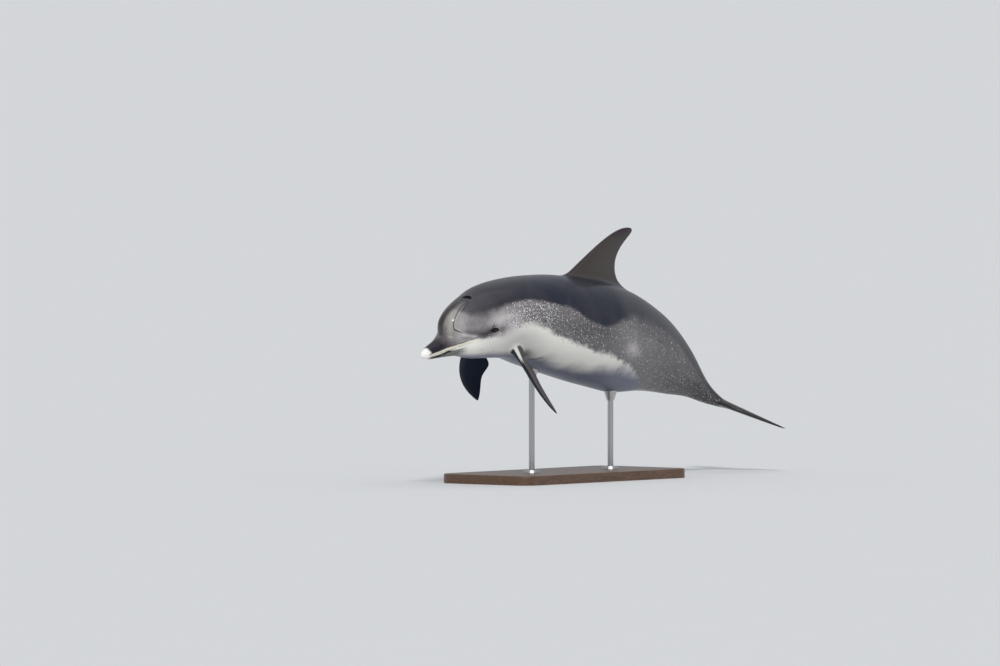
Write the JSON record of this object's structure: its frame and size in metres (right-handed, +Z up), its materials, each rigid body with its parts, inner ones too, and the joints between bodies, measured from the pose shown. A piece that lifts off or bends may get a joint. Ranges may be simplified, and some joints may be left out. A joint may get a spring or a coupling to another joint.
{
  "type": "atlantic spotted dolphin",
  "caption": "Life-size Atlantic spotted dolphin in mid leap: white-tipped beak, speckled flanks, hooked dorsal fin, held by a plain base and rods.",
  "frame": {"origin": "middle of the underside of the stand's base plate, under the middle of the trunk", "axes": "+Z up; the snout points to -X and the tail to +X; the animal's left side faces -Y; the body is rolled 6 degrees about X, left side down"},
  "size_m": [1.9913, 0.4847, 0.9607],
  "materials": {
    "skin_back": "wet smooth skin, charcoal cape",
    "skin_flank": "wet smooth skin, grey with pale flecks",
    "skin_belly": "wet smooth skin, off-white",
    "eye": "polished dark brown",
    "base_wood": "dark stained, satin varnish",
    "steel": "brushed"
  },
  "bodies": {
    "root": {"head": "skin_back", "lower_jaw": "skin_belly", "chest": "skin_flank", "abdomen": "skin_flank", "tail_stock": "skin_back", "dorsal_fin": "skin_back", "flipper_left": "skin_back", "flipper_right": "skin_back", "fluke_left": "skin_back", "fluke_right": "skin_back", "eye_left": "eye", "eye_right": "eye", "stand_base": "base_wood", "stand_foot_front": "steel", "stand_foot_rear": "steel", "stand_rod_front": "steel", "stand_rod_rear": "steel", "stand_saddle_front": "steel", "stand_saddle_rear": "steel"}
  },
  "joints": []
}
